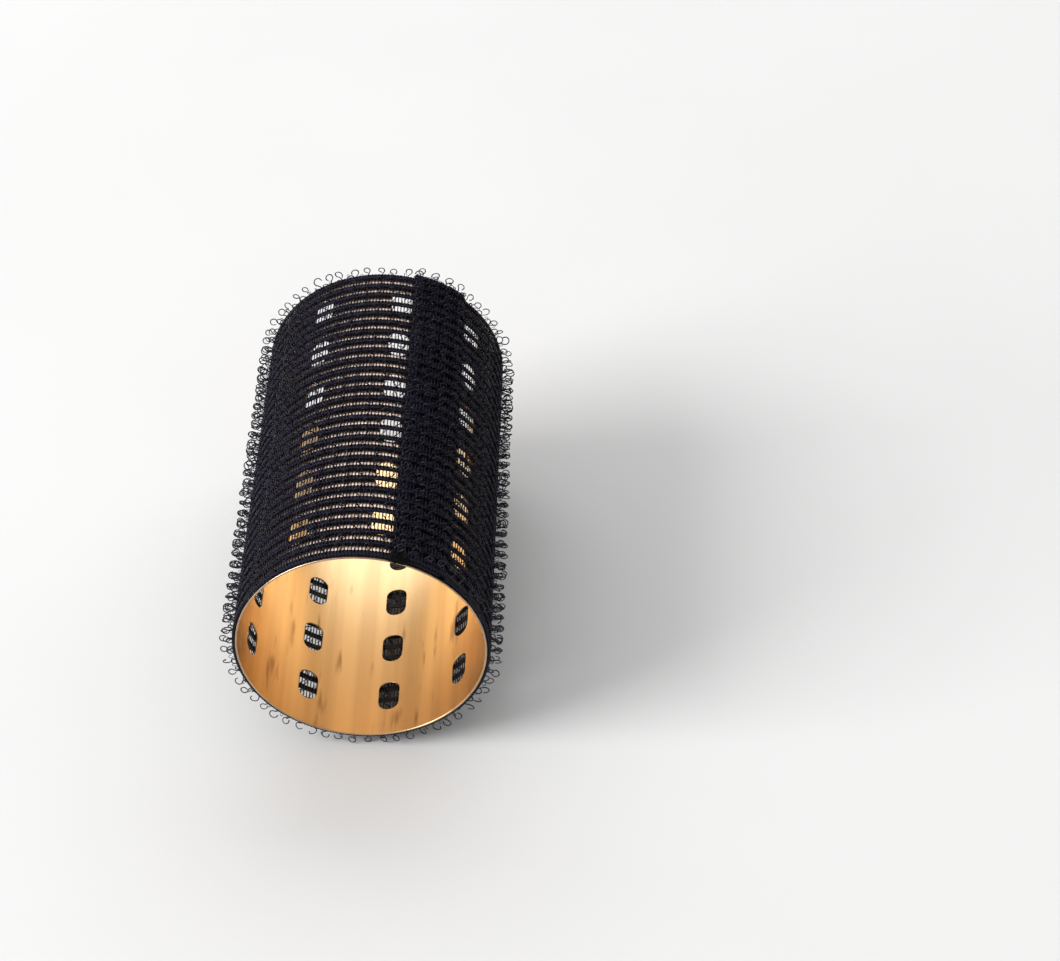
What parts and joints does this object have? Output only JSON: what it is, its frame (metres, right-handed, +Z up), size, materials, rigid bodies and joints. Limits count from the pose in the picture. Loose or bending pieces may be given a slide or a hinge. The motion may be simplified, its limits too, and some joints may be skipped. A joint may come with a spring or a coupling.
{
  "type": "self-grip hair roller",
  "caption": "Self-grip hair roller: a slotted, gold anodised aluminium tube in a sleeve of black knitted hook tape that holds wound hair by itself.",
  "frame": {"origin": "on the axis of the tube's bore, halfway along the tube", "axes": "+Y along the bore to the rear end, +Z up with the roller lying on its side on the pressed flat of its pile, +X to the right seen from the front end"},
  "size_m": [0.0404, 0.0639, 0.0402],
  "materials": {
    "anodised_gold": "bright anodised gold over drawn sheet, faint draw streaks along the tube",
    "knit_nylon": "black multifilament nylon, knitted in round chains, slight sheen",
    "filament_nylon": "black nylon monofilament, semi-gloss",
    "hook_nylon": "black heat-set nylon monofilament, semi-gloss",
    "weld_nylon": "fused nylon, dull, slightly olive where it was melted"
  },
  "bodies": {
    "root": {"core_tube": "anodised_gold", "wale_01": "knit_nylon", "wale_02": "knit_nylon", "wale_03": "knit_nylon", "wale_04": "knit_nylon", "wale_05": "knit_nylon", "wale_06": "knit_nylon", "wale_07": "knit_nylon", "wale_08": "knit_nylon", "wale_09": "knit_nylon", "wale_10": "knit_nylon", "wale_11": "knit_nylon", "wale_12": "knit_nylon", "wale_13": "knit_nylon", "wale_14": "knit_nylon", "wale_15": "knit_nylon", "wale_16": "knit_nylon", "wale_17": "knit_nylon", "wale_18": "knit_nylon", "wale_19": "knit_nylon", "wale_20": "knit_nylon", "wale_21": "knit_nylon", "wale_22": "knit_nylon", "wale_23": "knit_nylon", "wale_24": "knit_nylon", "wale_25": "knit_nylon", "wale_26": "knit_nylon", "wale_27": "knit_nylon", "wale_28": "knit_nylon", "wale_29": "knit_nylon", "inlay_filaments": "filament_nylon", "lap_weld": "weld_nylon", "hook_pile": "hook_nylon"}
  },
  "joints": []
}
